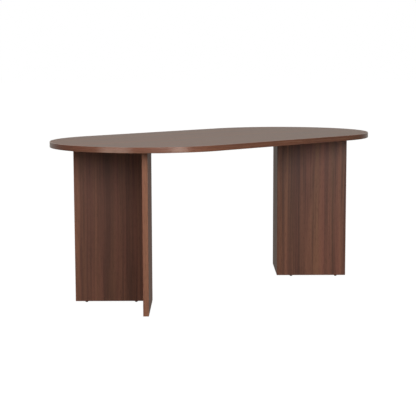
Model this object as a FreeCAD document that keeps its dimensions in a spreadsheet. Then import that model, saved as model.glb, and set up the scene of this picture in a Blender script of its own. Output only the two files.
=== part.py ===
import FreeCAD, Part
import os
import re
import Sketcher

# Oval dining table: a racetrack top on two V-shaped panel legs.
# Millimetres, +Z up. The origin is on the floor under the middle of the top, X runs along the
# table and Y across it. A leg is drawn in its own frame: the origin is the outer corner of the V
# at floor level, X runs along the butt panel, Y along the through panel. The two legs are alike,
# half a turn apart, and each V opens towards its end of the table.

Vector = FreeCAD.Vector
UP = Vector(0, 0, 1)

# Driving dimensions, in millimetres apart from the counts
DIMENSIONS = {
    # Top and boards
    "top_length": 1800,
    "top_width": 900,
    "table_height": 750,
    "board_thick": 25,
    "band_thick": 2,
    "band_round": 1.5,
    # V legs: the corner's distance from the table's middle, the outer length of both arms,
    # and how far the panels stand above the floor
    "leg_reach": 436,
    "arm_length": 355,
    "floor_gap": 6,
    # Glued butt joint of the V
    "dowel_dia": 8,
    "dowel_length": 40,
    "dowel_chamfer": 1,
    "dowel_bite": 14,
    "dowel_margin": 75,
    "dowel_count": 5,
    # Mounting plate, let into the panels behind a lip that hides its edge
    "plate_thick": 3,
    "plate_lip": 6,
    "plate_arm": 250,
    "plate_end": 40,
    "plate_round": 5,
    "plate_play": 0.5,
    # Countersunk screws, plate to panels
    "screw_dia": 4,
    "screw_hole": 4.5,
    "screw_head": 8,
    "screw_sink": 8.4,
    "screw_length": 35,
    "screw_first": 45,
    "screw_step": 90,
    "screw_count": 3,
    # Bolts and threaded inserts, plate to top
    "bolt_dia": 6,
    "bolt_hole": 6.6,
    "bolt_head": 10.5,
    "bolt_head_high": 3.3,
    "bolt_head_round": 2,
    "bolt_length": 15,
    "bolt_near": 58,
    "bolt_mid": 112,
    "bolt_far": 158,
    "insert_dia": 10,
    "insert_length": 13,
    "insert_hole_deep": 14,
    # Levelling feet
    "foot_inset": 50,
    "pad_flats": 13,
    "pad_base": 9,
    "pad_high": 5.2,
    "dome_high": 2.6,
    "stem_dia": 6,
    "stem_length": 24,
    "stem_seat": 3.2,
    "stem_chamfer": 0.6,
    "stem_room": 12,
    "stem_room_dia": 7.5,
    "sleeve_dia": 9,
    "sleeve_length": 14,
    "collar_dia": 12.5,
    # Play in diameter between a round piece and its hole
    "play": 0.1,
}

# Each leg's corner along X, and its turn about Z in degrees
LEGS = {"left": ("-leg_reach", 135), "right": ("leg_reach", -45)}

# Places in the leg's frame
MID_BOARD = "board_thick / 2"
BOLTS = (
    ("bolt_near", "bolt_near"),
    ("bolt_mid", "bolt_mid"),
    ("bolt_near", "bolt_far"),
    ("bolt_far", "bolt_near"),
)
FEET = {
    "through_inner": (MID_BOARD, "foot_inset"),
    "through_outer": (MID_BOARD, "arm_length - foot_inset"),
    "butt_inner": ("board_thick + foot_inset", MID_BOARD),
    "butt_outer": ("arm_length - foot_inset", MID_BOARD),
}

# Heights above the floor
UNDERSIDE = "table_height - board_thick"
PLATE_BOTTOM = "table_height - board_thick - plate_thick"
BOARD_BOTTOM = "floor_gap + band_thick"
BOARD_HIGH = "table_height - board_thick - floor_gap - band_thick"
PANEL_HIGH = "table_height - board_thick - floor_gap"
SLEEVE_TOP = "floor_gap + sleeve_length"

# Sketch geometry: the origin point and the two axes
SKETCH_ORIGIN = (-1, 1)
H_AXIS = -1
V_AXIS = -2
START = 1
END = 2
CENTRE = 3

doc = FreeCAD.newDocument("oval_dining_table")
sheet = doc.addObject("Spreadsheet::Sheet", "Sizes")
for row, (alias, size) in enumerate(DIMENSIONS.items(), start=1):
    sheet.set(f"A{row}", alias)
    sheet.set(f"B{row}", str(size))
    sheet.setAlias(f"B{row}", alias)
doc.recompute()

pieces = []


def from_sheet(formula):
    """Point each dimension named in a formula at its cell in the sheet."""
    return re.sub(r"[a-z_]+", lambda word: "Sizes." * (word[0] in DIMENSIONS) + word[0], formula)


def value(formula):
    """Work out a formula in millimetres."""
    return float(sheet.evalExpression(from_sheet(formula)))


def bind(item, prop, formula):
    """Drive a property by the sheet."""
    item.setExpression(prop, from_sheet(formula))


def new_body(label):
    """Start a piece of the table."""
    body = doc.addObject("PartDesign::Body", label)
    body.Label = label
    pieces.append(body)
    return body


def set_in_leg(body, side, x="0", y="0"):
    """Move a piece from the leg's frame, with its own origin at x, y there, to its leg."""
    reach, turn = LEGS[side]
    hand = "-" if reach.startswith("-") else ""
    body.Placement = FreeCAD.Placement(Vector(), FreeCAD.Rotation(UP, turn))
    bind(body, "Placement.Base.x", f"{reach} + {hand}1 * (({x}) + ({y})) / sqrt(2)")
    bind(body, "Placement.Base.y", f"{hand}1 * (({y}) - ({x})) / sqrt(2)")


def origin_feature(body, role):
    """Find one of a body's own origin planes or axes."""
    return next(item for item in body.Origin.OriginFeatures if item.Role == role)


def new_sketch(body, name, offset="0", plane="XY_Plane"):
    """Start a sketch on an origin plane, shifted along the plane's normal."""
    sketch = body.newObject("Sketcher::SketchObject", f"{body.Name}_{name}")
    sketch.AttachmentSupport = [(origin_feature(body, plane), "")]
    sketch.MapMode = "FlatFace"
    bind(sketch, "AttachmentOffset.Base.z", offset)
    return sketch


def dimension(sketch, kind, references, formula):
    """Add a driven dimension to a sketch."""
    index = sketch.addConstraint(Sketcher.Constraint(kind, *references, value(formula)))
    bind(sketch, f"Constraints[{index}]", formula)


def locate(sketch, point, x, y):
    """Hold a sketch point at x, y from the sketch's origin."""
    for kind, formula, axis in (("DistanceX", x, V_AXIS), ("DistanceY", y, H_AXIS)):
        if value(formula) == 0:
            sketch.addConstraint(Sketcher.Constraint("PointOnObject", *point, axis))
        else:
            dimension(sketch, kind, (*SKETCH_ORIGIN, *point), formula)


def draw_polygon(sketch, corners):
    """Draw a closed outline through corners given as pairs of formulas."""
    points = [Vector(value(x), value(y), 0) for x, y in corners]
    ends = points[1:] + points[:1]
    lines = [sketch.addGeometry(Part.LineSegment(a, b)) for a, b in zip(points, ends)]
    for line, following, corner in zip(lines, lines[1:] + lines[:1], corners):
        sketch.addConstraint(Sketcher.Constraint("Coincident", line, END, following, START))
        locate(sketch, (line, START), *corner)


def draw_rectangle(sketch, x0, y0, x1, y1):
    """Draw a rectangle between two opposite corners."""
    draw_polygon(sketch, ((x0, y0), (x1, y0), (x1, y1), (x0, y1)))


def draw_circles(sketch, places, diameter):
    """Draw circles of one size at places given as pairs of formulas."""
    for x, y in places:
        centre = Vector(value(x), value(y), 0)
        circle = sketch.addGeometry(Part.Circle(centre, UP, value(diameter) / 2))
        locate(sketch, (circle, CENTRE), x, y)
        dimension(sketch, "Diameter", (circle,), diameter)


def draw_racetrack(sketch, radius):
    """Draw the top's outline with ends of this radius about the top's own end centres."""
    half_straight = "(top_length - top_width) / 2"
    far = value(half_straight)
    side = value(radius)
    right = Part.Arc(Vector(far, -side, 0), Vector(far + side, 0, 0), Vector(far, side, 0))
    left = Part.Arc(Vector(-far, side, 0), Vector(-far - side, 0, 0), Vector(-far, -side, 0))
    back = Part.LineSegment(Vector(far, side, 0), Vector(-far, side, 0))
    front = Part.LineSegment(Vector(-far, -side, 0), Vector(far, -side, 0))
    outline = [sketch.addGeometry(item) for item in (right, back, left, front)]
    for item, following in zip(outline, outline[1:] + outline[:1]):
        sketch.addConstraint(Sketcher.Constraint("Tangent", item, END, following, START))
    locate(sketch, (outline[0], CENTRE), half_straight, "0")
    locate(sketch, (outline[2], CENTRE), f"-({half_straight})", "0")
    dimension(sketch, "Radius", (outline[0],), radius)


def pad(body, sketch, length, downward=False):
    """Raise a sketch into a solid."""
    feature = body.newObject("PartDesign::Pad", f"{sketch.Name}_pad")
    feature.Profile = sketch
    feature.Reversed = downward
    bind(feature, "Length", length)
    doc.recompute()
    return feature


def pocket(body, sketch, depth, along_normal=False):
    """Cut a sketch into the solid, and make sure that it took something away."""
    before = body.Shape.Volume
    feature = body.newObject("PartDesign::Pocket", f"{sketch.Name}_pocket")
    feature.Profile = sketch
    feature.Reversed = along_normal
    bind(feature, "Length", depth)
    doc.recompute()
    if not body.Shape.Volume < before:
        raise RuntimeError(f"{feature.Name} cuts nothing")
    return feature


def repeat(body, feature, axis, span, count):
    """Repeat a feature evenly along one of the body's axes, the last one a span away."""
    pattern = body.newObject("PartDesign::LinearPattern", f"{feature.Name}_row")
    pattern.Originals = [feature]
    pattern.Direction = (origin_feature(body, axis), [""])
    bind(pattern, "Length", span)
    bind(pattern, "Occurrences", count)
    body.Tip = pattern
    doc.recompute()


def dress_edges(body, kind, prop, size, wanted):
    """Fillet or chamfer the edges of the body that a test picks out."""
    base = body.Tip
    names = [f"Edge{n}" for n, edge in enumerate(base.Shape.Edges, start=1) if wanted(edge)]
    feature = body.newObject(f"PartDesign::{kind}", f"{body.Name}_{kind.lower()}")
    feature.Base = (base, names)
    bind(feature, prop, size)
    doc.recompute()


def is_upright(edge):
    """Say whether an edge runs straight up."""
    box = edge.BoundBox
    return box.ZLength > 1 and box.XLength + box.YLength < 1e-6


def screw_places(arm):
    """Give the screw places along one arm of the plate."""
    along = [f"screw_first + {n} * screw_step" for n in range(int(DIMENSIONS["screw_count"]))]
    return [(MID_BOARD, y) for y in along] if arm == "through" else [(x, MID_BOARD) for x in along]


def feet_of(arm):
    """Give the places of the feet under one arm of the V."""
    return [place for name, place in FEET.items() if name.startswith(arm)]


def make_top():
    """Top board with blind holes for the inserts, and the band glued round its edge."""
    core_radius = "top_width / 2 - band_thick"
    board = new_body("table_top")
    bind(board, "Placement.Base.z", UNDERSIDE)
    outline = new_sketch(board, "outline")
    draw_racetrack(outline, core_radius)
    pad(board, outline, "board_thick")
    holes = new_sketch(board, "insert_holes")
    places = [(f"leg_reach + ({x} + {y}) / sqrt(2)", f"({y} - {x}) / sqrt(2)") for x, y in BOLTS]
    draw_circles(holes, places, "insert_dia + play")
    drilled = pocket(board, holes, "insert_hole_deep", along_normal=True)
    both_ends = board.newObject("PartDesign::PolarPattern", "table_top_both_ends")
    both_ends.Originals = [drilled]
    both_ends.Axis = (origin_feature(board, "Z_Axis"), [""])
    both_ends.Angle = 360
    both_ends.Occurrences = 2
    board.Tip = both_ends
    doc.recompute()

    band = new_body("table_top_edge_band")
    bind(band, "Placement.Base.z", UNDERSIDE)
    ring = new_sketch(band, "ring")
    draw_racetrack(ring, core_radius)
    draw_racetrack(ring, "top_width / 2")
    pad(band, ring, "board_thick")
    outer = value("top_width / 2")

    def is_outer_arris(edge):
        """Say whether an edge is on the outside of the ring, at its top or bottom."""
        return edge.BoundBox.ZLength < 1e-6 and max(abs(v.Y) for v in edge.Vertexes) > outer - 0.1

    dress_edges(band, "Fillet", "Radius", "band_round", is_outer_arris)


def make_panel(side, arm):
    """One upright panel of the V, with its rebate and its holes for dowels, screws and feet."""
    body = new_body(f"{side}_{arm}_panel")
    set_in_leg(body, side)
    through = arm == "through"
    plan = new_sketch(body, "plan", BOARD_BOTTOM)
    rebate = new_sketch(body, "plate_rebate", UNDERSIDE)
    plate_end = "plate_lip + plate_arm + plate_play"
    if through:
        draw_rectangle(plan, "0", "band_thick", "board_thick", "arm_length - band_thick")
        draw_rectangle(rebate, "plate_lip", "plate_lip", "board_thick", plate_end)
    else:
        draw_rectangle(plan, "board_thick", "0", "arm_length - band_thick", "board_thick")
        draw_rectangle(rebate, "board_thick", "plate_lip", plate_end, "board_thick")
    pad(body, plan, BOARD_HIGH)
    pocket(body, rebate, "plate_thick")

    pilots = new_sketch(body, "screw_pilots", PLATE_BOTTOM)
    draw_circles(pilots, screw_places(arm), "screw_dia + play")
    pocket(body, pilots, "screw_length")

    dowel = new_sketch(body, "dowel_hole", "board_thick", "YZ_Plane")
    draw_circles(dowel, [(MID_BOARD, "floor_gap + dowel_margin")], "dowel_dia + play")
    bite = "dowel_bite + play" if through else "dowel_length - dowel_bite + play"
    hole = pocket(body, dowel, bite, along_normal=not through)
    repeat(body, hole, "Z_Axis", f"{PANEL_HIGH} - 2 * dowel_margin", "dowel_count")

    sleeves = new_sketch(body, "sleeve_holes", BOARD_BOTTOM)
    draw_circles(sleeves, feet_of(arm), "sleeve_dia + play")
    pocket(body, sleeves, "sleeve_length - band_thick", along_normal=True)
    room = new_sketch(body, "stem_room", SLEEVE_TOP)
    draw_circles(room, feet_of(arm), "stem_room_dia")
    pocket(body, room, "stem_room", along_normal=True)


def make_end_bands(side, arm):
    """Bands on the upright ends of a panel that show, with their outer arrises rounded."""
    name = "end_bands" if arm == "through" else "end_band"
    body = new_body(f"{side}_{arm}_panel_{name}")
    set_in_leg(body, side)
    plan = new_sketch(body, "plan", "floor_gap")
    inner_end = "arm_length - band_thick"
    if arm == "through":
        draw_rectangle(plan, "0", "0", "board_thick", "band_thick")
        draw_rectangle(plan, "0", inner_end, "board_thick", "arm_length")
    else:
        draw_rectangle(plan, inner_end, "0", "arm_length", "board_thick")
    pad(body, plan, PANEL_HIGH)
    length = value("arm_length")

    def is_outer_arris(edge):
        """Say whether an upright edge is on the panel's own end."""
        point = edge.Vertexes[0].Point
        along = point.y if arm == "through" else point.x
        return is_upright(edge) and min(abs(along), abs(along - length)) < 1e-6

    dress_edges(body, "Fillet", "Radius", "band_round", is_outer_arris)


def make_bottom_band(side, arm):
    """Band under a panel, between its upright bands, with holes for the foot sleeves."""
    body = new_body(f"{side}_{arm}_panel_bottom_band")
    set_in_leg(body, side)
    plan = new_sketch(body, "plan", "floor_gap")
    if arm == "through":
        draw_rectangle(plan, "0", "band_thick", "board_thick", "arm_length - band_thick")
    else:
        draw_rectangle(plan, "board_thick", "0", "arm_length - band_thick", "board_thick")
    draw_circles(plan, feet_of(arm), "sleeve_dia + play")
    pad(body, plan, "band_thick")


def make_dowels(side):
    """Row of dowels that the butt joint is glued on, turned with chamfered ends."""
    body = new_body(f"{side}_joint_dowels")
    set_in_leg(body, side)
    profile = new_sketch(body, "half_section", f"-({MID_BOARD})", "XZ_Plane")
    bind(profile, "AttachmentOffset.Base.y", "floor_gap + dowel_margin")
    start = "board_thick - dowel_bite"
    end = f"{start} + dowel_length"
    radius = "dowel_dia / 2"
    neck = f"{radius} - dowel_chamfer"
    corners = (
        (start, "0"),
        (end, "0"),
        (end, neck),
        (f"{end} - dowel_chamfer", radius),
        (f"{start} + dowel_chamfer", radius),
        (start, neck),
    )
    draw_polygon(profile, corners)
    dowel = body.newObject("PartDesign::Revolution", f"{side}_dowel")
    dowel.Profile = profile
    dowel.ReferenceAxis = (profile, ["H_Axis"])
    dowel.Angle = 360
    doc.recompute()
    repeat(body, dowel, "Z_Axis", f"{PANEL_HIGH} - 2 * dowel_margin", "dowel_count")


def make_mounting_plate(side):
    """Steel plate across the corner of the V, flush with the panels' top edges."""
    body = new_body(f"{side}_mounting_plate")
    set_in_leg(body, side)
    outline = new_sketch(body, "outline", PLATE_BOTTOM)
    far = "plate_lip + plate_arm"
    near = "plate_lip + plate_end"
    corners = (("plate_lip", "plate_lip"), (far, "plate_lip"), (far, near), (near, far), ("plate_lip", far))
    draw_polygon(outline, corners)
    pad(body, outline, "plate_thick")
    dress_edges(body, "Fillet", "Radius", "plate_round", is_upright)
    bolt_holes = new_sketch(body, "bolt_holes", UNDERSIDE)
    draw_circles(bolt_holes, BOLTS, "bolt_hole")
    pocket(body, bolt_holes, "plate_thick")
    centres = new_sketch(body, "screw_holes", UNDERSIDE)
    draw_circles(centres, screw_places("through") + screw_places("butt"), "screw_dia")
    doc.recompute()
    before = body.Shape.Volume
    holes = body.newObject("PartDesign::Hole", f"{side}_countersunk_holes")
    holes.Profile = centres
    holes.DepthType = "ThroughAll"
    holes.HoleCutType = "Countersink"
    holes.HoleCutCustomValues = True
    bind(holes, "Diameter", "screw_hole")
    bind(holes, "HoleCutDiameter", "screw_sink")
    holes.HoleCutCountersinkAngle = 90
    doc.recompute()
    if not body.Shape.Volume < before:
        raise RuntimeError(f"{holes.Name} cuts nothing")


def make_plate_screws(side):
    """Countersunk screws that hold the plate to the panels."""
    body = new_body(f"{side}_plate_screws")
    set_in_leg(body, side)
    places = screw_places("through") + screw_places("butt")
    heads = new_sketch(body, "heads", UNDERSIDE)
    draw_circles(heads, places, "screw_head")
    cones = pad(body, heads, "(screw_head - screw_dia) / 2", downward=True)
    cones.TaperAngle = -45
    shanks = new_sketch(body, "shanks", UNDERSIDE)
    draw_circles(shanks, places, "screw_dia")
    pad(body, shanks, "screw_length", downward=True)


def make_top_bolts(side):
    """Bolts from below through the plate into the top."""
    body = new_body(f"{side}_top_bolts")
    set_in_leg(body, side)
    heads = new_sketch(body, "heads", PLATE_BOTTOM)
    draw_circles(heads, BOLTS, "bolt_head")
    pad(body, heads, "bolt_head_high", downward=True)
    crown = value(f"{PLATE_BOTTOM} - bolt_head_high")
    dress_edges(body, "Fillet", "Radius", "bolt_head_round", lambda edge: edge.BoundBox.ZMax < crown + 1e-6)
    shanks = new_sketch(body, "shanks", PLATE_BOTTOM)
    draw_circles(shanks, BOLTS, "bolt_dia - play")
    pad(body, shanks, "bolt_length")


def make_top_inserts(side):
    """Threaded inserts pressed into the underside of the top."""
    body = new_body(f"{side}_top_inserts")
    set_in_leg(body, side)
    section = new_sketch(body, "section", UNDERSIDE)
    draw_circles(section, BOLTS, "insert_dia")
    draw_circles(section, BOLTS, "bolt_dia")
    pad(body, section, "insert_length")


def make_foot_sleeves(side):
    """Threaded sleeves pressed into the panel bottoms, each with a collar as the foot's stop."""
    body = new_body(f"{side}_foot_sleeves")
    set_in_leg(body, side)
    tubes = new_sketch(body, "tubes", "floor_gap")
    draw_circles(tubes, FEET.values(), "sleeve_dia")
    draw_circles(tubes, FEET.values(), "stem_dia")
    pad(body, tubes, "sleeve_length")
    collars = new_sketch(body, "collars", "pad_high")
    draw_circles(collars, FEET.values(), "collar_dia")
    draw_circles(collars, FEET.values(), "stem_dia")
    pad(body, collars, "floor_gap - pad_high")


def make_foot(side, name):
    """Levelling foot: a hexagonal pad with a domed base, on a steel stem."""
    x, y = FEET[name]
    body = new_body(f"{side}_{name}_foot_pad")
    set_in_leg(body, side, x, y)
    flats = new_sketch(body, "flats", "dome_high")
    corner = "pad_flats / sqrt(3)"
    half = "pad_flats / 2"
    hexagon = (
        (corner, "0"),
        (f"{corner} / 2", half),
        (f"-{corner} / 2", half),
        (f"-{corner}", "0"),
        (f"-{corner} / 2", f"-{half}"),
        (f"{corner} / 2", f"-{half}"),
    )
    draw_polygon(flats, hexagon)
    pad(body, flats, "pad_high - dome_high")
    make_dome(body)
    seat = new_sketch(body, "stem_seat", "pad_high")
    draw_circles(seat, [("0", "0")], "stem_dia")
    pocket(body, seat, "stem_seat")

    stem = new_body(f"{side}_{name}_foot_stem")
    set_in_leg(stem, side, x, y)
    section = new_sketch(stem, "section", "pad_high - stem_seat")
    draw_circles(section, [("0", "0")], "stem_dia - play")
    pad(stem, section, "stem_length")
    top = value("pad_high - stem_seat + stem_length")
    dress_edges(stem, "Chamfer", "Size", "stem_chamfer", lambda edge: edge.BoundBox.ZMin > top - 1e-6)


def make_dome(body):
    """Turn the foot's base: part of a ball centred on the foot's axis, cut flat at the floor."""
    profile = new_sketch(body, "dome", plane="XZ_Plane")
    rim = value("pad_flats / 2")
    base = value("pad_base / 2")
    high = value("dome_high")
    lift = (rim**2 - base**2 + high**2) / (2 * high)
    ball = (base**2 + lift**2) ** 0.5
    middle = Vector(rim + base, high, 0) / 2 - Vector(0, lift, 0)
    bulge = Vector(0, lift, 0) + middle.normalize() * ball
    axis = profile.addGeometry(Part.LineSegment(Vector(0, high, 0), Vector(0, 0, 0)))
    floor = profile.addGeometry(Part.LineSegment(Vector(0, 0, 0), Vector(base, 0, 0)))
    curve = profile.addGeometry(Part.Arc(Vector(base, 0, 0), bulge, Vector(rim, high, 0)))
    lid = profile.addGeometry(Part.LineSegment(Vector(rim, high, 0), Vector(0, high, 0)))
    loop = (axis, floor, curve, lid)
    for item, following in zip(loop, loop[1:] + loop[:1]):
        profile.addConstraint(Sketcher.Constraint("Coincident", item, END, following, START))
    locate(profile, (axis, START), "0", "dome_high")
    locate(profile, (floor, START), "0", "0")
    locate(profile, (curve, START), "pad_base / 2", "0")
    locate(profile, (lid, START), "pad_flats / 2", "dome_high")
    profile.addConstraint(Sketcher.Constraint("PointOnObject", curve, CENTRE, V_AXIS))
    turned = body.newObject("PartDesign::Revolution", f"{profile.Name}_turned")
    turned.Profile = profile
    turned.ReferenceAxis = (profile, ["V_Axis"])
    turned.Angle = 360
    doc.recompute()


def check_document():
    """Stop if anything failed to build."""
    for item in doc.Objects:
        if {"Invalid", "Error"} & set(item.State):
            raise RuntimeError(f"{item.Label} failed: {item.State}")
    for body in pieces:
        if body.Shape.isNull() or not body.Shape.isValid():
            raise RuntimeError(f"{body.Label} has no valid shape")


make_top()
for leg in LEGS:
    for panel in ("through", "butt"):
        make_panel(leg, panel)
        make_end_bands(leg, panel)
        make_bottom_band(leg, panel)
    make_dowels(leg)
    make_mounting_plate(leg)
    make_plate_screws(leg)
    make_top_bolts(leg)
    make_top_inserts(leg)
    make_foot_sleeves(leg)
    for foot in FEET:
        make_foot(leg, foot)
doc.recompute()
check_document()

os.makedirs("parts", exist_ok=True)
for body in pieces:
    body.Shape.exportStep(f"parts/{body.Label}.step")
    print(body.Label, len(body.Shape.Solids), round(body.Shape.Volume))
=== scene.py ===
"""Looks of an oval dining table: a racetrack top of walnut board on two V-shaped panel legs.

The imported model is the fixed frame. Its wooden pieces stay and are dressed here, the bolts under
the top and the stems of the feet are modelled again with their sockets and threads, and a white
studio with soft lights stands round the table. Lengths are in metres unless a name says otherwise.
"""

import logging
import math
from collections.abc import Callable, Iterable
from dataclasses import dataclass
from enum import Enum

import bmesh
import bpy
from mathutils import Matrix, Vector


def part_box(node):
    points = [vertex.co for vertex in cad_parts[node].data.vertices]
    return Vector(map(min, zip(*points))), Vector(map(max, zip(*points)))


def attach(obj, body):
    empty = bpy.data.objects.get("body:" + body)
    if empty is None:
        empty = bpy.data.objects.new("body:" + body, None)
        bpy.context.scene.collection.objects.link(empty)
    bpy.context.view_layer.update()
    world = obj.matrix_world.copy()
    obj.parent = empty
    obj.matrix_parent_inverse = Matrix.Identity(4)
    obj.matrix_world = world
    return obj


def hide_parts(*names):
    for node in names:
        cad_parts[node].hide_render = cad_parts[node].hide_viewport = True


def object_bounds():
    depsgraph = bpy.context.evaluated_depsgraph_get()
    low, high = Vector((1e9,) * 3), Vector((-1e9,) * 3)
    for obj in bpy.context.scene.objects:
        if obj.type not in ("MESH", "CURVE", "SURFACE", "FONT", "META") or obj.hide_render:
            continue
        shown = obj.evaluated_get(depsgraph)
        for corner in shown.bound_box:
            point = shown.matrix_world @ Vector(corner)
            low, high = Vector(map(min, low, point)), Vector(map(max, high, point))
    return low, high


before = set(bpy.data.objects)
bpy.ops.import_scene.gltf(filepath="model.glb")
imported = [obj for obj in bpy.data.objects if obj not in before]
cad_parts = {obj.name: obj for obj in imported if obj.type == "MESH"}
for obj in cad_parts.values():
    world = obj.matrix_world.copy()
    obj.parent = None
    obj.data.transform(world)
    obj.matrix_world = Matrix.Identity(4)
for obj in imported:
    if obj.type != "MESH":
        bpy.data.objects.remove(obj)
CAD_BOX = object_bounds()

MM = 0.001
TABLE_BODY = "table"
# Vertices that are nearer to each other than this are one vertex
WELD = 1e-6
WHITE = "#FFFFFF"
WARM_WHITE = "#FFF1E2"
log = logging.getLogger("table")

# Sockets of a colour mix node, whose names repeat for its other data types
MIX_FACTOR = 0
MIX_A = 6
MIX_B = 7
MIX_RESULT = 2
# Most of a noise pattern lies between these two values
NOISE_LOW = 0.3
NOISE_HIGH = 0.7
# The hue setting that leaves a colour as it is
SAME_HUE = 0.5

# The points round one ring of a skin
Ring = list[tuple[float, float, float]]


class Grain(Enum):
    """Which way the figure of a wooden surface runs."""

    LENGTHWISE = (1, 0, 0)
    UPRIGHT = (0, 0, 1)
    ROUND_RIM = (1, 1, 0)


class Side(Enum):
    """The two legs."""

    LEFT = "left"
    RIGHT = "right"


class Panel(Enum):
    """The two panels of a leg: one runs to the corner of the V, the other ends on it."""

    THROUGH = "through_panel"
    BUTT = "butt_panel"


class FootPlace(Enum):
    """Where a foot stands under a leg: under which panel, near to or far from the corner."""

    THROUGH_INNER = "through_inner"
    THROUGH_OUTER = "through_outer"
    BUTT_INNER = "butt_inner"
    BUTT_OUTER = "butt_outer"


def linear(hex_colour: str) -> tuple[float, float, float, float]:
    """Turn an sRGB hex colour into linear light.

    Args:
        hex_colour: six hex digits after a hash mark.

    Returns:
        Red, green, blue and full alpha.
    """
    channels = [int(hex_colour[i : i + 2], 16) / 255 for i in (1, 3, 5)]
    return (*[c / 12.92 if c <= 0.04045 else ((c + 0.055) / 1.055) ** 2.4 for c in channels], 1.0)


def add_node(
    tree: bpy.types.NodeTree,
    kind: str,
    inputs: dict[str | int, object] | None = None,
    **settings: object,
) -> bpy.types.Node:
    """Add a node with its settings, values and links.

    Args:
        tree: the tree that gets the node.
        kind: Blender's name for the kind of node.
        inputs: for each input, by name or place, its value or the output that feeds it.
        settings: the node's own properties.

    Returns:
        The new node.
    """
    node = tree.nodes.new(kind)
    for name, setting in settings.items():
        setattr(node, name, setting)
    for key, given in (inputs or {}).items():
        if isinstance(given, bpy.types.NodeSocket):
            tree.links.new(given, node.inputs[key])
        else:
            node.inputs[key].default_value = given
    return node


@dataclass(frozen=True)
class Finish:
    """A finish that makes one procedural material."""

    name: str

    def start(self) -> tuple[bpy.types.Material, bpy.types.NodeTree]:
        """Make an empty node material.

        Returns:
            The material and its node tree.
        """
        material = bpy.data.materials.new(self.name)
        material.use_nodes = True
        material.node_tree.nodes.clear()
        return material, material.node_tree

    def close(self, tree: bpy.types.NodeTree, surface: bpy.types.Node) -> None:
        """Link a surface shader to the material's output."""
        add_node(tree, "ShaderNodeOutputMaterial", {"Surface": surface.outputs[0]})

    def build(self) -> bpy.types.Material:
        """Make the material, which each kind of finish does in its own way."""
        raise NotImplementedError


@dataclass(frozen=True)
class Streaks:
    """One layer of a wood print: soft streaks of about one width and one length.

    The share says how much the layer counts, in the unit of what it changes.
    """

    width_mm: float
    length_mm: float
    share: float
    detail: float = 1.0


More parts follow.
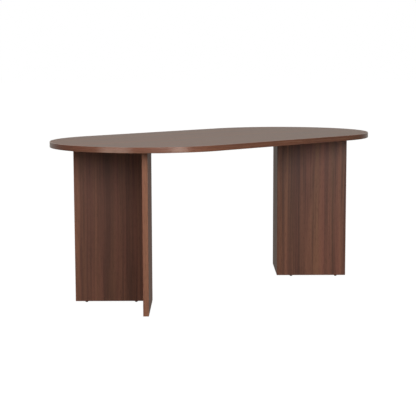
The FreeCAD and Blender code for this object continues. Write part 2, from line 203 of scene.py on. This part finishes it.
# Walnut melamine: a printed walnut paper under clear melamine resin, pressed on particle board with
# a satin plate. It gives straight brown grain in soft bands that drift from rosy to olive, thin dark
# pores, and a greyish sheen where it is seen at a flat angle.
@dataclass(frozen=True)
class WalnutMelamine(Finish):
    """Walnut-grain melamine board or edging."""

    grain: Grain
    tones: tuple[str, str, str, str] = ("#6A4539", "#7F5342", "#8B5B48", "#9D6750")
    # How pale a figure takes the middle tone, and about how far apart the darkest and palest tones are
    middle: float = 0.50
    spread: float = 0.27
    # How far each tone lies from the middle, in shares of the spread
    steps: tuple[float, float, float, float] = (-0.5, -0.12, 0.12, 0.56)
    figure: tuple[Streaks, ...] = (
        Streaks(70, 4000, 0.20),
        Streaks(26, 3000, 0.46, detail=2.0),
        Streaks(7, 900, 0.28),
        Streaks(2.5, 120, 0.06),
    )
    # How ragged the streaks are
    streak_breakup: float = 0.55
    # Growth rings are the level lines of one broad layer, so they run straight and close in arches
    rings: Streaks = Streaks(130, 2600, 0.025)
    ring_count: float = 14.0
    # The hue drifts over this share of the colour circle
    hue_drift: Streaks = Streaks(40, 1400, 0.012)
    # Real pores are about 0.3 mm wide: they are drawn wider, so that they show
    pores: Streaks = Streaks(1.2, 28, 0.45, detail=0.0)
    # Where the noise of the pores passes from bare board to a full pore
    pore_rise: tuple[float, float] = (0.62, 0.74)
    pore_colour: str = "#4E332A"
    pore_depth_mm: float = 0.12
    pore_bump: float = 0.35
    # Where on the printed paper the piece is cut from
    cut_mm: tuple[float, float, float] = (0.0, 0.0, 0.0)
    # How long a sway of the grain is, and how far it goes
    sway_mm: float = 900.0
    sway_reach_mm: float = 26.0
    sway_detail: float = 1.0
    roughness: float = 0.42
    # Dark grain is this much smoother, and pale grain this much rougher
    smoother_dark: float = 0.04
    rougher_pale: float = 0.05
    ior: float = 1.5
    # How much clear lacquer lies over the print
    lacquer: float = 0.0
    lacquer_roughness: float = 0.22

    def add_sway(self, tree: bpy.types.NodeTree) -> bpy.types.NodeSocket:
        """Bend the straight coordinates a little, so that the grain doesn't look ruled.

        Args:
            tree: the tree that gets the nodes.

        Returns:
            Where on the piece, in the frame's own coordinates, with the sway of the grain in it.
        """
        place = add_node(tree, "ShaderNodeTexCoord").outputs["Object"]
        sway = add_node(tree, "ShaderNodeTexNoise", {
            "Vector": place, "Scale": 1 / (self.sway_mm * MM), "Detail": self.sway_detail})
        swayed = add_node(tree, "ShaderNodeVectorMath", {
            0: sway.outputs["Color"], 1: (self.sway_reach_mm * MM,) * 3, 2: place},
            operation="MULTIPLY_ADD")
        return swayed.outputs[0]

    def add_streaks(
        self, tree: bpy.types.NodeTree, place: bpy.types.NodeSocket, layer: Streaks
    ) -> bpy.types.Node:
        """Add the noise of one layer, drawn out along the grain.

        Args:
            tree: the tree that gets the layer.
            place: where on the piece, with the sway of the grain in it.
            layer: how wide and long its streaks are.

        Returns:
            The noise node.
        """
        lengths = [layer.length_mm if along else layer.width_mm for along in self.grain.value]
        scale = [1 / (length * MM) for length in lengths]
        shift = [cut / length for cut, length in zip(self.cut_mm, lengths)]
        drawn = add_node(tree, "ShaderNodeMapping", {"Vector": place, "Location": shift, "Scale": scale})
        return add_node(tree, "ShaderNodeTexNoise", {
            "Vector": drawn.outputs[0], "Scale": 1.0, "Detail": layer.detail,
            "Roughness": self.streak_breakup})

    def add_figure(self, tree: bpy.types.NodeTree, place: bpy.types.NodeSocket) -> bpy.types.NodeSocket:
        """Add up the streaks and the growth rings.

        Args:
            tree: the tree that gets the figure.
            place: where on the piece, with the sway of the grain in it.

        Returns:
            How pale the figure is, about 0.5 on average.
        """
        field = self.add_streaks(tree, place, self.rings).outputs[0]
        turns = add_node(tree, "ShaderNodeMath", {
            0: field, 1: 2 * math.pi * self.ring_count}, operation="MULTIPLY")
        wave = add_node(tree, "ShaderNodeMath", {0: turns.outputs[0]}, operation="SINE")
        total = add_node(tree, "ShaderNodeMath", {
            0: wave.outputs[0], 1: self.rings.share}, operation="MULTIPLY")
        for layer in self.figure:
            streaks = self.add_streaks(tree, place, layer)
            total = add_node(tree, "ShaderNodeMath", {
                0: streaks.outputs[0], 1: layer.share, 2: total.outputs[0]}, operation="MULTIPLY_ADD")
        return total.outputs[0]

    def add_tones(
        self, tree: bpy.types.NodeTree, figure: bpy.types.NodeSocket, place: bpy.types.NodeSocket
    ) -> bpy.types.NodeSocket:
        """Turn the figure into brown tones whose hue drifts across the board.

        Args:
            tree: the tree that gets the nodes.
            figure: how pale the figure is.
            place: where on the piece, with the sway of the grain in it.

        Returns:
            The colour of the print between its pores.
        """
        tone = add_node(tree, "ShaderNodeValToRGB", {"Fac": figure})
        # A new ramp has two elements
        for _ in self.steps[2:]:
            tone.color_ramp.elements.new(1.0)
        for element, step, colour in zip(tone.color_ramp.elements, self.steps, self.tones):
            element.position = self.middle + self.spread * step
            element.color = linear(colour)
        drift = self.add_streaks(tree, place, self.hue_drift)
        reach = self.hue_drift.share / 2
        hue = add_node(tree, "ShaderNodeMapRange", {
            "Value": drift.outputs[0], "From Min": NOISE_LOW, "From Max": NOISE_HIGH,
            "To Min": SAME_HUE - reach, "To Max": SAME_HUE + reach})
        drifted = add_node(tree, "ShaderNodeHueSaturation", {
            "Hue": hue.outputs[0], "Color": tone.outputs["Color"]})
        return drifted.outputs[0]

    def build(self) -> bpy.types.Material:
        """Make the material.

        Returns:
            The material, with its figure in the frame's own coordinates.
        """
        material, tree = self.start()
        place = self.add_sway(tree)
        figure = self.add_figure(tree, place)
        tones = self.add_tones(tree, figure, place)
        pores = self.add_streaks(tree, place, self.pores)
        bare, full = self.pore_rise
        pore = add_node(tree, "ShaderNodeMapRange", {
            "Value": pores.outputs[0], "From Min": bare, "From Max": full})
        pore_share = add_node(tree, "ShaderNodeMath", {
            0: pore.outputs[0], 1: self.pores.share}, operation="MULTIPLY")
        colour = add_node(tree, "ShaderNodeMix", {
            MIX_FACTOR: pore_share.outputs[0], MIX_A: tones, MIX_B: linear(self.pore_colour)},
            data_type="RGBA")
        rough = add_node(tree, "ShaderNodeMapRange", {
            "Value": figure, "From Min": NOISE_LOW, "From Max": NOISE_HIGH,
            "To Min": self.roughness - self.smoother_dark, "To Max": self.roughness + self.rougher_pale})
        bump = add_node(tree, "ShaderNodeBump", {
            "Height": pore.outputs[0], "Strength": self.pore_bump,
            "Distance": self.pore_depth_mm * MM}, invert=True)
        self.close(tree, add_node(tree, "ShaderNodeBsdfPrincipled", {
            "Base Color": colour.outputs[MIX_RESULT], "Roughness": rough.outputs[0],
            "Normal": bump.outputs[0], "IOR": self.ior,
            "Coat Weight": self.lacquer, "Coat Roughness": self.lacquer_roughness}))
        return material


# Beech: turned round and pressed into flutes, left raw. It gives a pale pinkish wood with short
# darker flecks.
@dataclass(frozen=True)
class RawBeech(Finish):
    """Raw beech dowel rod."""

    ground: str = "#D3AE82"
    fleck: str = "#B58A5E"
    fleck_mm: float = 1.6
    fleck_detail: float = 2.0
    # The dowels lie level, so the flecks are drawn out along X and Y
    grain_stretch: float = 6.0
    roughness: float = 0.6
    ior: float = 1.5

    def build(self) -> bpy.types.Material:
        """Make the material.

        Returns:
            The material.
        """
        material, tree = self.start()
        place = add_node(tree, "ShaderNodeTexCoord").outputs["Object"]
        along = add_node(tree, "ShaderNodeMapping", {
            "Vector": place, "Scale": (1 / self.grain_stretch, 1 / self.grain_stretch, 1.0)})
        flecks = add_node(tree, "ShaderNodeTexNoise", {
            "Vector": along.outputs[0], "Scale": 1 / (self.fleck_mm * MM), "Detail": self.fleck_detail})
        colour = add_node(tree, "ShaderNodeMix", {
            MIX_FACTOR: flecks.outputs[0], MIX_A: linear(self.ground), MIX_B: linear(self.fleck)},
            data_type="RGBA")
        self.close(tree, add_node(tree, "ShaderNodeBsdfPrincipled", {
            "Base Color": colour.outputs[MIX_RESULT], "Roughness": self.roughness, "IOR": self.ior}))
        return material


# Moulded or coated black: polypropylene from an eroded mould, or powder paint baked on steel. Both
# give a dull black with a fine pebbled skin that breaks up the highlight.
@dataclass(frozen=True)
class PebbledBlack(Finish):
    """A dull black skin with a fine pebbled texture."""

    colour: str
    worn: str
    # Real pebbles are a few tenths of a millimetre across: they are drawn coarser, so that they show
    pebble_mm: float
    roughness: float
    roughness_swing: float = 0.08
    pebble_detail: float = 2.0
    # How high a pebble stands for its width
    pebble_height: float = 0.1
    pebble_bump: float = 0.3
    ior: float = 1.49

    def build(self) -> bpy.types.Material:
        """Make the material.

        Returns:
            The material.
        """
        material, tree = self.start()
        place = add_node(tree, "ShaderNodeTexCoord").outputs["Object"]
        pebbles = add_node(tree, "ShaderNodeTexNoise", {
            "Vector": place, "Scale": 1 / (self.pebble_mm * MM), "Detail": self.pebble_detail})
        colour = add_node(tree, "ShaderNodeMix", {
            MIX_FACTOR: pebbles.outputs[0], MIX_A: linear(self.colour), MIX_B: linear(self.worn)},
            data_type="RGBA")
        rough = add_node(tree, "ShaderNodeMapRange", {
            "Value": pebbles.outputs[0],
            "To Min": self.roughness - self.roughness_swing,
            "To Max": self.roughness + self.roughness_swing})
        bump = add_node(tree, "ShaderNodeBump", {
            "Height": pebbles.outputs[0], "Strength": self.pebble_bump,
            "Distance": self.pebble_height * self.pebble_mm * MM})
        self.close(tree, add_node(tree, "ShaderNodeBsdfPrincipled", {
            "Base Color": colour.outputs[MIX_RESULT], "Roughness": rough.outputs[0],
            "Normal": bump.outputs[0], "IOR": self.ior}))
        return material


# Plated steel: barrel-plated zinc, bright and a little blue, or black oxide with a film of oil.
# Both give a metal whose shine is broken by the faint scratches of tumbling.
@dataclass(frozen=True)
class TumbledSteel(Finish):
    """Small steel hardware, tumbled and plated."""

    bright: str
    dull: str
    roughness: float
    roughness_swing: float = 0.1
    # Real scratches are finer than a tenth of a millimetre: they are drawn coarser, so that they show
    scratch_mm: float = 0.9
    scratch_detail: float = 4.0
    scratch_breakup: float = 0.65

    def build(self) -> bpy.types.Material:
        """Make the material.

        Returns:
            The material.
        """
        material, tree = self.start()
        place = add_node(tree, "ShaderNodeTexCoord").outputs["Object"]
        tarnish = add_node(tree, "ShaderNodeTexNoise", {
            "Vector": place, "Scale": 1 / (self.scratch_mm * MM), "Detail": self.scratch_detail,
            "Roughness": self.scratch_breakup})
        colour = add_node(tree, "ShaderNodeMix", {
            MIX_FACTOR: tarnish.outputs[0], MIX_A: linear(self.bright), MIX_B: linear(self.dull)},
            data_type="RGBA")
        rough = add_node(tree, "ShaderNodeMapRange", {
            "Value": tarnish.outputs[0],
            "To Min": self.roughness - self.roughness_swing,
            "To Max": self.roughness + self.roughness_swing})
        self.close(tree, add_node(tree, "ShaderNodeBsdfPrincipled", {
            "Base Color": colour.outputs[MIX_RESULT], "Roughness": rough.outputs[0], "Metallic": 1.0}))
        return material


# Studio paper: a white seamless roll, lit until it is white. It gives the eye plain white, with next
# to no shadow on it.
@dataclass(frozen=True)
class StudioPaper(Finish):
    """White paper that the table stands on."""

    glow: float = 0.99
    # Only this grey under the glow takes light and shadow
    grey: str = "#5A5A5A"

    def build(self) -> bpy.types.Material:
        """Make the material.

        Returns:
            The material.
        """
        material, tree = self.start()
        self.close(tree, add_node(tree, "ShaderNodeBsdfPrincipled", {
            "Base Color": linear(self.grey), "Roughness": 1.0, "Specular IOR Level": 0.0,
            "Emission Color": linear(WHITE), "Emission Strength": self.glow}))
        return material


BOARD_LENGTHWISE = WalnutMelamine("walnut_melamine_lengthwise", Grain.LENGTHWISE, middle=0.47)
# The panels are cut from different places on the paper, which sets their figure. Their different middles
# are partly the print's own paleness and partly painted light and shade: each was set so that the panel's
# brightness makes up for how the lights fall on it.
PANEL_BOARDS = {
    (Side.LEFT, Panel.THROUGH): WalnutMelamine(
        "walnut_melamine_left_through", Grain.UPRIGHT, middle=0.44),
    (Side.LEFT, Panel.BUTT): WalnutMelamine(
        "walnut_melamine_left_butt", Grain.UPRIGHT,
        middle=0.542, spread=0.30, cut_mm=(599, 670, -2367)),
    (Side.RIGHT, Panel.THROUGH): WalnutMelamine(
        "walnut_melamine_right_through", Grain.UPRIGHT),
    (Side.RIGHT, Panel.BUTT): WalnutMelamine(
        "walnut_melamine_right_butt", Grain.UPRIGHT,
        middle=0.495, spread=0.19, cut_mm=(1999, -1529, -1509)),
}
# The edging is printed with a finer figure than the boards, and the rim's is lacquered
FINE_FIGURE = (Streaks(70, 3200, 0.25), Streaks(7, 600, 0.45, detail=2.0), Streaks(2.5, 120, 0.30))
RIM_EDGING = WalnutMelamine(
    "walnut_edging_round_rim", Grain.ROUND_RIM, ("#825645", "#8C5D49", "#92614B", "#9D6850"),
    figure=FINE_FIGURE, roughness=0.26, lacquer=0.9)
UPRIGHT_TONES = ("#8B5D4C", "#966551", "#9C6955", "#A7715A")
# The upright edgings of the two legs are one print. Their different middles are painted light and shade,
# set so that each edge's brightness makes up for how the lights fall on it.
UPRIGHT_EDGING = {
    Side.LEFT: WalnutMelamine(
        "walnut_edging_left_upright", Grain.UPRIGHT, UPRIGHT_TONES,
        middle=0.43, figure=FINE_FIGURE, roughness=0.30),
    Side.RIGHT: WalnutMelamine(
        "walnut_edging_right_upright", Grain.UPRIGHT, UPRIGHT_TONES,
        middle=0.555, figure=FINE_FIGURE, roughness=0.30),
}
DOWEL = RawBeech("raw_beech")
POWDER_COAT = PebbledBlack(
    "black_powder_coated_steel", "#1B1B1C", "#262627", pebble_mm=1.2, roughness=0.5)
FOOT_PLASTIC = PebbledBlack(
    "moulded_black_polypropylene", "#141414", "#202020", pebble_mm=0.7, roughness=0.6)
BLACK_OXIDE = TumbledSteel("black_oxide_steel", "#3A3B3D", "#1E1E20", roughness=0.4)
ZINC = TumbledSteel("zinc_plated_steel", "#C8CBD0", "#9BA0A6", roughness=0.33)
PAPER = StudioPaper("white_studio_paper")


class Workshop:
    """Builds each finish once and hands it to the pieces."""

    def __init__(self) -> None:
        """Start with no material made."""
        self.made: dict[str, bpy.types.Material] = {}

    def material(self, finish: Finish) -> bpy.types.Material:
        """Give a finish's material, made the first time that it is asked for.

        Args:
            finish: what the surface is.

        Returns:
            Its one material.
        """
        if finish.name not in self.made:
            self.made[finish.name] = finish.build()
        return self.made[finish.name]

    def dress(self, piece: bpy.types.Object, finish: Finish) -> None:
        """Put a finish on every material slot of a piece.

        Args:
            piece: the object to dress.
            finish: what its surface is.
        """
        material = self.material(finish)
        if not piece.material_slots:
            piece.data.materials.append(material)
        for slot in piece.material_slots:
            slot.material = material
        log.info("%s: %s", piece.name, finish.name)

    def dress_nodes(self, finish: Finish, *nodes: str) -> None:
        """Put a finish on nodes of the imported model."""
        for node in nodes:
            self.dress(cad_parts[node], finish)


def islands(node: str) -> list[tuple[Vector, Vector]]:
    """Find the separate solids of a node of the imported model.

    Args:
        node: the node's name.

    Returns:
        The lowest and highest corner of each solid.
    """
    mesh = bmesh.new()
    mesh.from_mesh(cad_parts[node].data)
    bmesh.ops.remove_doubles(mesh, verts=mesh.verts, dist=WELD)
    waiting = set(mesh.verts)
    found = []
    while waiting:
        reached = {waiting.pop()}
        front = list(reached)
        while front:
            near = {edge.other_vert(vert) for vert in front for edge in vert.link_edges} - reached
            reached |= near
            front = list(near)
        waiting -= reached
        corners = [[pick(vert.co[axis] for vert in reached) for axis in range(3)] for pick in (min, max)]
        found.append((Vector(corners[0]), Vector(corners[1])))
    mesh.free()
    return sorted(found, key=lambda box: tuple(box[0]))


def add_loft(mesh: bmesh.types.BMesh, rings: Iterable[Ring]) -> None:
    """Add a closed skin through rings of as many points each, with a flat lid on both ends.

    Args:
        mesh: the mesh that gets the skin.
        rings: the rings from one end to the other.
    """
    rows = [[mesh.verts.new(point) for point in ring] for ring in rings]
    count = len(rows[0])
    for low, high in zip(rows, rows[1:]):
        for i in range(count):
            j = (i + 1) % count
            mesh.faces.new((low[i], low[j], high[j], high[i]))
    mesh.faces.new(reversed(rows[0]))
    mesh.faces.new(rows[-1])


def make_piece(
    name: str, fill: Callable[[bmesh.types.BMesh], None], sharp_degrees: float = 35.0
) -> bpy.types.Object:
    """Make a new mesh piece with smooth shading and sharp arrises.

    Args:
        name: the piece's name.
        fill: what adds the geometry.
        sharp_degrees: the bend above which an edge stays sharp.

    Returns:
        The new object.
    """
    geometry = bmesh.new()
    fill(geometry)
    bmesh.ops.recalc_face_normals(geometry, faces=geometry.faces)
    data = bpy.data.meshes.new(name)
    geometry.to_mesh(data)
    geometry.free()
    data.shade_smooth()
    data.set_sharp_from_angle(angle=math.radians(sharp_degrees))
    piece = bpy.data.objects.new(name, data)
    bpy.context.scene.collection.objects.link(piece)
    return piece


@dataclass
class TableTop:
    """The racetrack board and the band round it."""

    board: str = "table_top"
    band: str = "table_top_edge_band"

    def dress(self, workshop: Workshop) -> None:
        """Dress the board and its band."""
        workshop.dress_nodes(BOARD_LENGTHWISE, self.board)
        workshop.dress_nodes(RIM_EDGING, self.band)


@dataclass
class SocketBolts:
    """Button-head socket bolts from the mounting plate into the top."""

    side: Side
    head_dia: float = 10.5 * MM
    head_high: float = 3.3 * MM
    socket_flats: float = 4.0 * MM
    socket_deep: float = 2.0 * MM
    # The flat ring on the crown, outside the corners of the socket
    crown_land: float = 0.4 * MM
    shank_dia: float = 5.9 * MM
    rim_round: float = 0.5 * MM
    sides: int = 48
    dome_steps: int = 8

    @property
    def node(self) -> str:
        """The node that the bolts stand for."""
        return f"{self.side.value}_top_bolts"

    def circle(self, centre: Vector, radius: float, z: float) -> Ring:
        """Give a round ring."""
        turns = [2 * math.pi * i / self.sides for i in range(self.sides)]
        return [(centre.x + radius * math.cos(t), centre.y + radius * math.sin(t), z) for t in turns]

    def hexagon(self, centre: Vector, z: float) -> Ring:
        """Give a ring with the socket's six flats.

        Args:
            centre: a point on the bolt's axis.
            z: the ring's height.

        Returns:
            As many points as a round ring has.
        """
        ring = []
        for i in range(self.sides):
            turn = 2 * math.pi * i / self.sides
            off_flat = (turn + math.pi / 6) % (math.pi / 3) - math.pi / 6
            radius = self.socket_flats / 2 / math.cos(off_flat)
            ring.append((centre.x + radius * math.cos(turn), centre.y + radius * math.sin(turn), z))
        return ring

    def add_bolt(self, mesh: bmesh.types.BMesh, low: Vector, high: Vector) -> None:
        """Add one bolt, head down, in the box of the solid that it stands for.

        Args:
            mesh: the mesh that gets the bolt.
            low: the solid's lowest corner, at the crown of the head.
            high: the solid's highest corner, at the end of the shank.
        """
        centre = (low + high) / 2
        seat = low.z + self.head_high
        rim = self.head_dia / 2
        crown = self.socket_flats / 2 / math.cos(math.pi / 6) + self.crown_land
        rings = [
            self.hexagon(centre, low.z + self.socket_deep),
            self.hexagon(centre, low.z),
            self.circle(centre, crown, low.z),
        ]
        for step in range(1, self.dome_steps + 1):
            turn = math.pi / 2 * step / self.dome_steps
            radius = crown + (rim - crown) * math.sin(turn)
            below = self.rim_round + (self.head_high - self.rim_round) * math.cos(turn)
            rings.append(self.circle(centre, radius, seat - below))
        rings.append(self.circle(centre, rim, seat))
        rings.append(self.circle(centre, self.shank_dia / 2, seat))
        rings.append(self.circle(centre, self.shank_dia / 2, high.z))
        add_loft(mesh, rings)

    def build(self, workshop: Workshop) -> None:
        """Make the bolts of one leg and put them in place of their node.

        Args:
            workshop: gives the finish.
        """
        solids = islands(self.node)

        def fill(mesh: bmesh.types.BMesh) -> None:
            """Add every bolt."""
            for low, high in solids:
                self.add_bolt(mesh, low, high)

        piece = make_piece(f"{self.side.value}_socket_bolts", fill)
        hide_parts(self.node)
        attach(piece, TABLE_BODY)
        workshop.dress(piece, BLACK_OXIDE)


@dataclass
class LevellingFoot:
    """One screw-in foot: a moulded pad on a threaded stem."""

    side: Side
    place: FootPlace
    pitch: float = 1.0 * MM
    thread_deep: float = 0.55 * MM
    # How steep the flanks are, and how much of the slope the flat crests take
    flank_slope: float = 1.3
    crest_flat: float = 0.15
    sides: int = 20
    steps_per_turn: int = 6
    # Bends of the thread below this are shaded smooth
    sharp_degrees: float = 60.0

    @property
    def name(self) -> str:
        """The words that this foot's nodes start with."""
        return f"{self.side.value}_{self.place.value}_foot"

    def thread_ring(self, centre: Vector, crest: float, z: float, lead: float) -> Ring:
        """Give one ring of the screw thread.

        Args:
            centre: a point on the stem's axis.
            crest: the thread's outer radius.
            z: the ring's height.
            lead: the height above the stem's lower end.

        Returns:
            Points whose radius follows the thread's flanks.
        """
        ring = []
        for i in range(self.sides):
            turn = i / self.sides
            wave = abs(2 * ((lead / self.pitch - turn) % 1.0) - 1)
            depth = min(1.0, max(0.0, self.flank_slope * wave - self.crest_flat))
            radius = crest - self.thread_deep * depth
            angle = 2 * math.pi * turn
            ring.append((centre.x + radius * math.cos(angle), centre.y + radius * math.sin(angle), z))
        return ring

    def build_stem(self, workshop: Workshop) -> None:
        """Make the threaded stem and put it in place of its node.

        Args:
            workshop: gives the finish.
        """
        node = f"{self.name}_stem"
        low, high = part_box(node)
        centre = (low + high) / 2
        crest = (high.x - low.x) / 2
        levels = round((high.z - low.z) / self.pitch * self.steps_per_turn)
        heights = [(high.z - low.z) * level / levels for level in range(levels + 1)]

        def fill(mesh: bmesh.types.BMesh) -> None:
            """Add the thread from end to end."""
            add_loft(mesh, [self.thread_ring(centre, crest, low.z + h, h) for h in heights])

        piece = make_piece(f"{self.name}_threaded_stem", fill, self.sharp_degrees)
        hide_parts(node)
        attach(piece, self.name)
        workshop.dress(piece, ZINC)

    def dress(self, workshop: Workshop) -> None:
        """Dress the pad, and make the stem."""
        workshop.dress_nodes(FOOT_PLASTIC, f"{self.name}_pad")
        self.build_stem(workshop)


@dataclass
class PanelLeg:
    """A V-shaped leg of two panels, with its joint, plate, fasteners and feet."""

    side: Side

    def node(self, part: str) -> str:
        """Give the name of one of this leg's nodes."""
        return f"{self.side.value}_{part}"

    def dress(self, workshop: Workshop) -> None:
        """Dress the leg's nodes and build its bolts and feet.

        Args:
            workshop: gives the finishes.
        """
        for panel in Panel:
            workshop.dress_nodes(PANEL_BOARDS[self.side, panel], self.node(panel.value))
            workshop.dress_nodes(RIM_EDGING, self.node(f"{panel.value}_bottom_band"))
        bands = ("through_panel_end_bands", "butt_panel_end_band")
        workshop.dress_nodes(UPRIGHT_EDGING[self.side], *[self.node(band) for band in bands])
        workshop.dress_nodes(DOWEL, self.node("joint_dowels"))
        workshop.dress_nodes(POWDER_COAT, self.node("mounting_plate"))
        hardware = ("plate_screws", "top_inserts", "foot_sleeves")
        workshop.dress_nodes(ZINC, *[self.node(part) for part in hardware])
        SocketBolts(self.side).build(workshop)
        for place in FootPlace:
            LevellingFoot(self.side, place).dress(workshop)


@dataclass(frozen=True)
class PhotoCamera:
    """The viewpoint of the photograph, in the table's frame."""

    stand: tuple[float, float, float] = (-3.9803, -3.8905, 1.1010)
    heading_degrees: float = 45.172
    dip_degrees: float = 7.206
    roll_degrees: float = 0.138
    focal_px: float = 1149.36
    frame_px: float = 416.0
    sensor_mm: float = 36.0

    def place(self) -> None:
        """Make the camera and look through it."""
        data = bpy.data.cameras.new("photo_camera")
        data.sensor_width = self.sensor_mm
        data.lens = self.focal_px / self.frame_px * self.sensor_mm
        camera = bpy.data.objects.new("photo_camera", data)
        camera.location = self.stand
        # A camera without any turn looks straight down
        turns = (90 - self.dip_degrees, self.roll_degrees, -self.heading_degrees)
        camera.rotation_euler = [math.radians(turn) for turn in turns]
        bpy.context.scene.collection.objects.link(camera)
        bpy.context.scene.camera = camera


def outward(towards_camera: float, bearing_degrees: float, rise_degrees: float) -> Vector:
    """Give a direction seen from the table.

    Args:
        towards_camera: the angle of the camera's side of the table, in radians from +X.
        bearing_degrees: 0 is towards the camera, and it grows to the camera's left.
        rise_degrees: the height above the horizon.

    Returns:
        The direction, of length 1.
    """
    turn = towards_camera - math.radians(bearing_degrees)
    rise = math.radians(rise_degrees)
    return Vector((math.cos(turn) * math.cos(rise), math.sin(turn) * math.cos(rise), math.sin(rise)))


@dataclass(frozen=True)
class Softbox:
    """A rectangular soft light that faces the table."""

    name: str
    bearing_degrees: float
    rise_degrees: float
    distance: float
    width: float
    height: float
    watts: float
    colour: str = WHITE

    def hang(self, towards_camera: float, target: Vector) -> None:
        """Make the light.

        Args:
            towards_camera: the angle of the camera's side of the table, in radians from +X.
            target: the point that the light faces.
        """
        data = bpy.data.lights.new(self.name, "AREA")
        data.shape = "RECTANGLE"
        data.size = self.width
        data.size_y = self.height
        data.energy = self.watts
        data.color = linear(self.colour)[:3]
        light = bpy.data.objects.new(self.name, data)
        out = outward(towards_camera, self.bearing_degrees, self.rise_degrees)
        light.location = target + out * self.distance
        light.rotation_euler = out.to_track_quat("Z", "Y").to_euler()
        light.visible_camera = False
        bpy.context.scene.collection.objects.link(light)
        log.info("%s: %.1f W", self.name, self.watts)


@dataclass
class Studio:
    """White paper floor, soft lights and a pale room round the table."""

    floor_radius: float = 60.0
    floor_sides: int = 64
    room_colour: str = "#FFFAF1"
    room_light: float = 0.15
    # The wall behind the table is brighter than the room, and gives the top its sheen
    wall_light: float = 0.76
    wall_bearing_degrees: float = 174.0
    wall_rise_degrees: float = 14.0
    # Cosines of the angle off the middle of the wall where its light starts and where it is full
    wall_reach: tuple[float, float] = (0.35, 0.95)
    # The light from below is this share, and grows to the whole between these heights of a direction
    below_share: float = 0.42
    horizon: tuple[float, float] = (-0.05, 0.2)
    # The softboxes light the legs, and the low strips put the highlights on the rim
    softboxes: tuple[Softbox, ...] = (
        Softbox(
            "key_softbox", bearing_degrees=-20, rise_degrees=17.6, distance=4.2,
            width=2.4, height=1.25, watts=56),
        Softbox(
            "key_strip", bearing_degrees=-32, rise_degrees=1, distance=5.0,
            width=1.5, height=0.35, watts=9.5, colour=WARM_WHITE),
        Softbox(
            "fill_softbox", bearing_degrees=25, rise_degrees=25, distance=4.2,
            width=0.9, height=1.8, watts=29),
        Softbox(
            "fill_strip", bearing_degrees=35, rise_degrees=1, distance=4.2,
            width=2.2, height=0.4, watts=8.0, colour=WARM_WHITE),
    )

    def lay_floor(self, workshop: Workshop) -> None:
        """Lay the paper, which is white to the eye and throws no light back at the table.

        Args:
            workshop: gives the paper's finish.
        """
        turns = [2 * math.pi * i / self.floor_sides for i in range(self.floor_sides)]

        def fill(mesh: bmesh.types.BMesh) -> None:
            """Add one wide disc."""
            rim = [(self.floor_radius * math.cos(t), self.floor_radius * math.sin(t), 0.0) for t in turns]
            mesh.faces.new([mesh.verts.new(point) for point in rim])

        floor = make_piece("paper_floor", fill)
        floor.visible_diffuse = False
        floor.visible_glossy = False
        workshop.dress(floor, PAPER)

    def paint_room(self, towards_camera: float) -> None:
        """Light the room, most of all the wall behind the table, and show white to the camera.

        Args:
            towards_camera: the angle of the camera's side of the table, in radians from +X.
        """
        world = bpy.data.worlds.new("studio_room")
        world.use_nodes = True
        tree = world.node_tree
        tree.nodes.clear()
        direction = add_node(tree, "ShaderNodeTexCoord").outputs["Generated"]
        wall = outward(towards_camera, self.wall_bearing_degrees, self.wall_rise_degrees)
        facing = add_node(tree, "ShaderNodeVectorMath", {0: direction, 1: wall}, operation="DOT_PRODUCT")
        edge, heart = self.wall_reach
        glow = add_node(tree, "ShaderNodeMapRange", {
            "Value": facing.outputs["Value"], "From Min": edge, "From Max": heart,
            "To Min": self.room_light, "To Max": self.wall_light}, interpolation_type="SMOOTHSTEP")
        height = add_node(tree, "ShaderNodeSeparateXYZ", {0: direction}).outputs["Z"]
        below, above = self.horizon
        share = add_node(tree, "ShaderNodeMapRange", {
            "Value": height, "From Min": below, "From Max": above, "To Min": self.below_share},
            interpolation_type="SMOOTHSTEP")
        strength = add_node(tree, "ShaderNodeMath", {
            0: glow.outputs[0], 1: share.outputs[0]}, operation="MULTIPLY")
        light = add_node(tree, "ShaderNodeBackground", {
            "Color": linear(self.room_colour), "Strength": strength.outputs[0]})
        white = add_node(tree, "ShaderNodeBackground", {"Color": linear(WHITE), "Strength": 1.0})
        seen = add_node(tree, "ShaderNodeLightPath").outputs["Is Camera Ray"]
        mixed = add_node(tree, "ShaderNodeMixShader", {0: seen, 1: light.outputs[0], 2: white.outputs[0]})
        add_node(tree, "ShaderNodeOutputWorld", {"Surface": mixed.outputs[0]})
        bpy.context.scene.world = world

    def set_up(self, workshop: Workshop, camera: PhotoCamera) -> None:
        """Lay the floor, hang the lights and set how light becomes colour.

        Args:
            workshop: gives the paper's finish.
            camera: whose side of the table the bearings start from.
        """
        self.lay_floor(workshop)
        target = (CAD_BOX[0] + CAD_BOX[1]) / 2
        towards_camera = math.atan2(camera.stand[1], camera.stand[0])
        self.paint_room(towards_camera)
        for softbox in self.softboxes:
            softbox.hang(towards_camera, target)
        bpy.context.scene.view_settings.view_transform = "Standard"


def main() -> None:
    """Dress the table, build its detailed pieces and set up the studio."""
    logging.basicConfig(level=logging.INFO, format="%(name)s: %(message)s")
    workshop = Workshop()
    TableTop().dress(workshop)
    for side in Side:
        PanelLeg(side).dress(workshop)
    camera = PhotoCamera()
    camera.place()
    Studio().set_up(workshop, camera)


if __name__ == "__main__":
    main()
